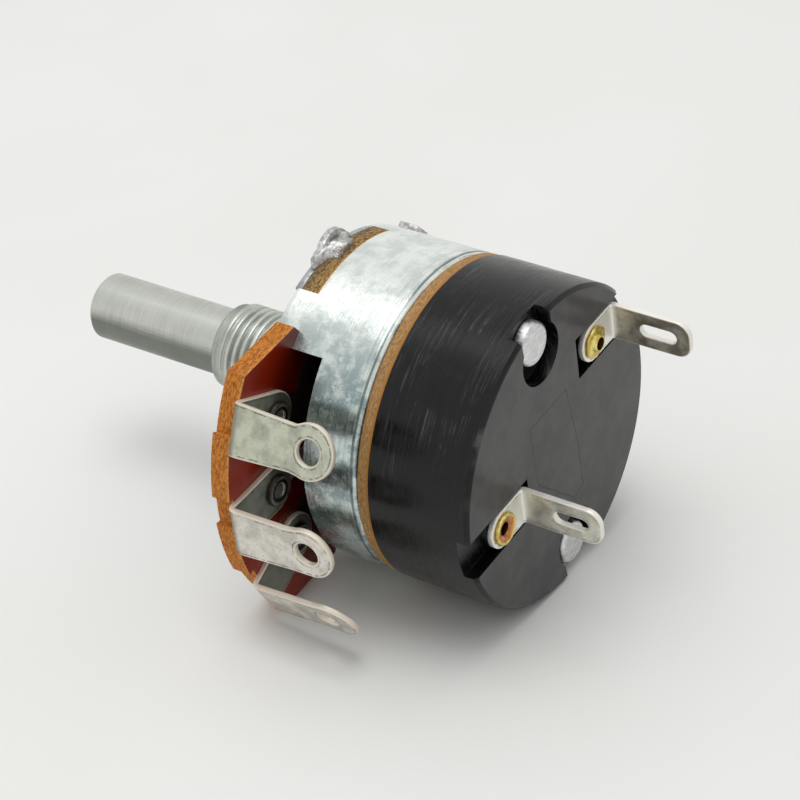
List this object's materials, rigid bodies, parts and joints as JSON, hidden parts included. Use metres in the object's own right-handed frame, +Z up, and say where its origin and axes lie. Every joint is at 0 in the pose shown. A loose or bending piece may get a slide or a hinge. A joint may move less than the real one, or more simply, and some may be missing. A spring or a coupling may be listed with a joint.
{
  "type": "rotary potentiometer",
  "caption": "Single-turn rotary potentiometer with round shaft, threaded bushing, side solder tags and a rotary switch with slotted terminals on its rear",
  "frame": {"origin": "on the shaft's axis, at the front face of the mounting plate that lies against the panel", "axes": "-Y runs along the shaft out of its tip, +X is the side on which the solder tags stand, +Z is up with the part lying on its side on the switch housing and one corner of the wafer"},
  "size_m": [0.0347, 0.0547, 0.0306],
  "materials": {
    "shaft_metal": "satin",
    "bushing_metal": "satin",
    "plate_metal": "satin",
    "wafer_board": "gloss",
    "carbon": "matte",
    "silver_print": "satin",
    "tag_metal": "satin",
    "rivet_metal": "satin",
    "washer_brass": "satin",
    "clip_steel": "satin",
    "carrier_board": "matte",
    "spring_bronze": "satin",
    "cover_zinc": "satin",
    "insulator_board": "matte",
    "housing_resin": "satin",
    "terminal_metal": "satin",
    "eyelet_brass": "satin",
    "driver_plastic": "matte",
    "spring_steel": "satin"
  },
  "bodies": {
    "body": {"bushing": "bushing_metal", "front_plate": "plate_metal", "wafer": "wafer_board", "carbon_track": "carbon", "collector_ring": "silver_print", "tag_first": "tag_metal", "tag_wiper": "tag_metal", "tag_last": "tag_metal", "tag_rivets": "rivet_metal", "thrust_washer": "washer_brass", "cover": "cover_zinc", "insulator": "insulator_board", "switch_housing": "housing_resin", "terminal_upper": "terminal_metal", "terminal_lower": "terminal_metal", "terminal_eyelets": "eyelet_brass", "housing_rivets": "rivet_metal", "detent_spring": "spring_steel"},
    "rotor": {"shaft": "shaft_metal", "retaining_clip": "clip_steel", "wiper_carrier": "carrier_board", "wiper_spring": "spring_bronze", "switch_driver": "driver_plastic"},
    "lever": {"switch_lever": "carrier_board", "contact_bridge": "spring_bronze"}
  },
  "joints": [
    {"name": "shaft_turn", "type": "hinge", "parent": "body", "child": "rotor", "pos_m": [0, 0, 0], "axis": [0, 1, 0], "range_deg": [0, 300]},
    {"name": "switch_throw", "type": "hinge", "parent": "body", "child": "lever", "pos_m": [-0.00335, 0, -0.00522], "axis": [0, 1, 0], "range_deg": [-20, 0]}
  ]
}
